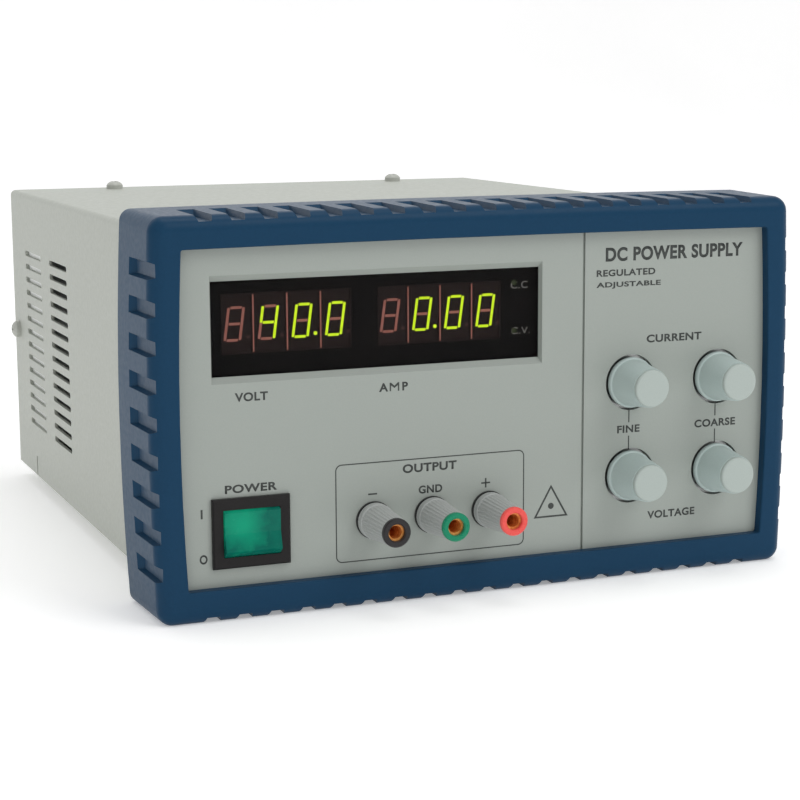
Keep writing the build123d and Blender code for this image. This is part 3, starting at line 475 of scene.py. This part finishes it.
def segment(x, z, kind):
    """Corners of one bar of a digit, its own corners cut, leaning with the slant."""
    thick = SEGMENT_WIDE / 2
    if kind == "flat":
        half = DIGIT_WIDE / 2 - thick - SEGMENT_GAP
    else:
        half = DIGIT_HIGH / 4 + thick / 2 - SEGMENT_GAP
    cut = SEGMENT_CUT
    bar = [(-half, cut - thick), (cut - half, -thick), (half - cut, -thick), (half, cut - thick)]
    bar += [(-a, -b) for a, b in bar]
    if kind == "tall":
        bar = [(-b, a) for a, b in bar]
    outline = []
    for a, b in bar:
        outline.append((x + a + (z + b) * DIGIT_SLANT, z + b))
    return outline


def make_digits(name, node, signs, point_after, finishes):
    """Light windows of a four-digit module: the lit ones glow, the rest show their dull diffuser, whose
    segments and separators carry a faint painted glow for the ambient light behind the filter.
    """
    low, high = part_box(node)
    x0, x1 = low.x / MM, high.x / MM
    middle = (low.z + high.z) / 2 / MM
    rim = (low.y - FRONT) / MM
    face = rim + WINDOW_SET_BACK
    centre = (x0 + x1) / 2
    shapes = {"lit": bmesh.new(), "unlit_painted_glow": bmesh.new(), "dim": bmesh.new()}
    for k, sign in enumerate(signs):
        cx = centre + (k - 1.5) * DIGIT_PITCH + DIGIT_SHIFT
        for letter, (u, v, kind) in SEGMENTS.items():
            state = "lit" if letter in LIT_BY_SIGN[sign] else "unlit_painted_glow"
            x = cx + (u - 0.5) * DIGIT_WIDE
            z = (v - 0.5) * DIGIT_HIGH
            outline = [(px, pz + middle) for px, pz in segment(x, z, kind)]
            outline_prism(shapes[state], [outline], face - WINDOW_DEPTH, face)
        state = "lit" if k == point_after else "dim"
        dot_x = cx + POINT_SHIFT - DIGIT_HIGH / 2 * DIGIT_SLANT
        dot_z = middle - DIGIT_HIGH / 2 + POINT_RADIUS + 0.2
        dot = disc(dot_x, dot_z, POINT_RADIUS, 16)
        outline_prism(shapes[state], [dot], face - WINDOW_DEPTH, face)
    z0, z1 = low.z / MM + 0.4, high.z / MM - 0.4
    for k in (-1, 0, 1):
        x = centre + k * DIGIT_PITCH
        add_bar(
            shapes["unlit_painted_glow"], x - SEPARATOR_HALF, x + SEPARATOR_HALF, z0, z1, rim - SEPARATOR_PROUD, rim
        )
    for state, shape in shapes.items():
        made = piece(f"{name}_{state}", mesh_of(shape, f"{name}_{state}"), finishes[state])


def make_digit_finishes():
    """Finishes of the lit windows, of those that are off (with a faint painted glow for the ambient light
    behind the filter) and of the decimal points that are off.
    """
    lit = Finish("digit_lit", Emission_Strength=1.7)
    lit.colour(lit.noise(800), srgb("b9d81c"), srgb("c8e82a"))
    glow = lit.between(lit.noise(900), srgb("bbdc10"), srgb("d2f01e"))
    lit.tree.links.new(glow, lit.shader.inputs["Emission Color"])
    lit.roughness(lit.noise(300), 0.3, 0.4)
    # Segments and separators that are off: their faint emission is a painted glow, standing in for ambient
    # light reaching them behind the filter.
    unlit_painted_glow = Finish("digit_unlit_painted_glow", Emission_Strength=0.12)
    unlit_painted_glow.shader.inputs["Emission Color"].default_value = srgb("e89a80")
    unlit_painted_glow.colour(unlit_painted_glow.noise(900), srgb("f09080"), srgb("f8a292"))
    unlit_painted_glow.roughness(unlit_painted_glow.noise(300), 0.4, 0.5)
    dim = Finish("digit_dim")
    dim.colour(dim.noise(900), srgb("5c3934"), srgb("6b443e"))
    dim.roughness(dim.noise(300), 0.4, 0.5)
    return {"lit": lit, "unlit_painted_glow": unlit_painted_glow, "dim": dim}


MASK_GAP = 0.05
MASK_FRONT = 0.3
MASK_BACK = 0.8


def make_display_mask():
    """Black mask round the two meter modules, and the two mode legends on it."""
    black = moulded("mask_black", "040404", "070606", (0.6, 0.75), Specular_IOR_Level=0.06)
    low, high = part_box("display_filter")
    face = (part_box("volt_display")[0].y - FRONT) / MM
    outer = [(low.x, low.z), (high.x, low.z), (high.x, high.z), (low.x, high.z)]
    loops = [[(x / MM, z / MM) for x, z in outer]]
    for node in ("volt_display", "amp_display"):
        a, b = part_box(node)
        x0, x1 = a.x / MM - MASK_GAP, b.x / MM + MASK_GAP
        z0, z1 = a.z / MM - MASK_GAP, b.z / MM + MASK_GAP
        loops.append([(x0, z0), (x1, z0), (x1, z1), (x0, z1)])
    mask = bmesh.new()
    outline_prism(mask, loops, face + MASK_FRONT, face + MASK_BACK)
    piece("display_mask", mesh_of(mask, "display_mask"), black)
    faint = Finish("mode_ink")
    faint.colour(faint.noise(700), srgb("d4d0ca"), srgb("dcd8d3"))
    faint.roughness(faint.noise(300), 0.5, 0.6)
    words = bmesh.new()
    add_text(words, "C.C", 10.7, 16.4, 93.3, 95.5, face + MASK_FRONT)
    add_text(words, "C.V.", 10.9, 17.3, 79.1, 81.2, face + MASK_FRONT)
    piece("mode_legends", mesh_of(words, "mode_legends"), faint)


# ---------------------------------------------------------------- stage, light, camera


FLOOR_HALF = 4.0
SWEEP_START = 1.2
SWEEP_RADIUS = 1.0
SWEEP_STEPS = 16
BACKDROP_TOP = 4.0


def make_stage():
    """A pale floor that curves up into a backdrop."""
    paper = Finish("stage_paper", Emission_Strength=0.28)
    paper.colour(paper.noise(3), srgb("f2f2f2"), srgb("f6f6f6"))
    paper.roughness(paper.noise(6), 0.8, 0.9)
    paper.shader.inputs["Emission Color"].default_value = (1, 1, 1, 1)
    profile = [(-FLOOR_HALF, 0.0)]
    for k in range(SWEEP_STEPS + 1):
        a = math.radians(90 * k / SWEEP_STEPS)
        along = SWEEP_START + SWEEP_RADIUS * math.sin(a)
        profile.append((along, SWEEP_RADIUS * (1 - math.cos(a))))
    profile.append((SWEEP_START + SWEEP_RADIUS, BACKDROP_TOP))
    mesh = bpy.data.meshes.new("sweep")
    points = [(x, y, z) for y, z in profile for x in (-FLOOR_HALF, FLOOR_HALF)]
    faces = [(2 * k, 2 * k + 1, 2 * k + 3, 2 * k + 2) for k in range(len(profile) - 1)]
    mesh.from_pydata(points, [], faces)
    mesh.materials.append(paper.material)
    for face in mesh.polygons:
        face.use_smooth = True
    made = bpy.data.objects.new("sweep", mesh)
    bpy.context.scene.collection.objects.link(made)


WORLD_STRENGTH = 0.6
LIGHT_TARGET = (0, 0, 0.06)


def add_area(name, place, size, power):
    """A rectangular soft light that looks at the object's middle."""
    light = bpy.data.lights.new(name, "AREA")
    light.shape = "RECTANGLE"
    light.size, light.size_y = size
    light.energy = power
    made = bpy.data.objects.new(name, light)
    made.location = place
    aim = Vector(LIGHT_TARGET) - Vector(place)
    made.rotation_euler = aim.to_track_quat("-Z", "Y").to_euler()
    bpy.context.scene.collection.objects.link(made)


def make_lights():
    """An even white surround, a soft key light from the front right and a fill from above."""
    world = bpy.data.worlds.new("studio")
    world.use_nodes = True
    background = world.node_tree.nodes["Background"]
    background.inputs["Color"].default_value = (1, 1, 1, 1)
    background.inputs["Strength"].default_value = WORLD_STRENGTH
    bpy.context.scene.world = world
    add_area("key", (0.7, -1.1, 1.3), (0.9, 0.9), 8)
    add_area("top_fill", (0.1, 0.1, 1.6), (0.9, 0.5), 5.5)


CAMERA_PLACE = (-245.98, -537.83, 159.81)
CAMERA_YAW = 21.87
CAMERA_PITCH = 9.52
CAMERA_ROLL = -0.31
CAMERA_LENS = 88.31
SENSOR_WIDTH = 36.0


def make_camera():
    """The view of a long lens from the left, a little above the object."""
    yaw, pitch, roll = (math.radians(a) for a in (CAMERA_YAW, CAMERA_PITCH, CAMERA_ROLL))
    ahead = Vector(
        (math.sin(yaw) * math.cos(pitch), math.cos(yaw) * math.cos(pitch), -math.sin(pitch))
    )
    level = Vector((math.cos(yaw), -math.sin(yaw), 0))
    above = level.cross(ahead)
    right = math.cos(roll) * level + math.sin(roll) * above
    up = -math.sin(roll) * level + math.cos(roll) * above
    data = bpy.data.cameras.new("camera")
    data.lens = CAMERA_LENS
    data.sensor_width = SENSOR_WIDTH
    camera = bpy.data.objects.new("camera", data)
    turn = Matrix((right, up, -ahead)).transposed().to_4x4()
    camera.matrix_world = Matrix.Translation(at(*CAMERA_PLACE)) @ turn
    bpy.context.scene.collection.objects.link(camera)
    bpy.context.scene.camera = camera


# ---------------------------------------------------------------- assembly

finish_cad_nodes(make_finishes())
digit_finishes = make_digit_finishes()
make_legends()
make_digits("volt_digits", "volt_display", " 400", 2, digit_finishes)
make_digits("amp_digits", "amp_display", " 000", 1, digit_finishes)
make_display_mask()
make_stage()
make_lights()
make_camera()
bpy.context.scene.view_settings.view_transform = "Standard"
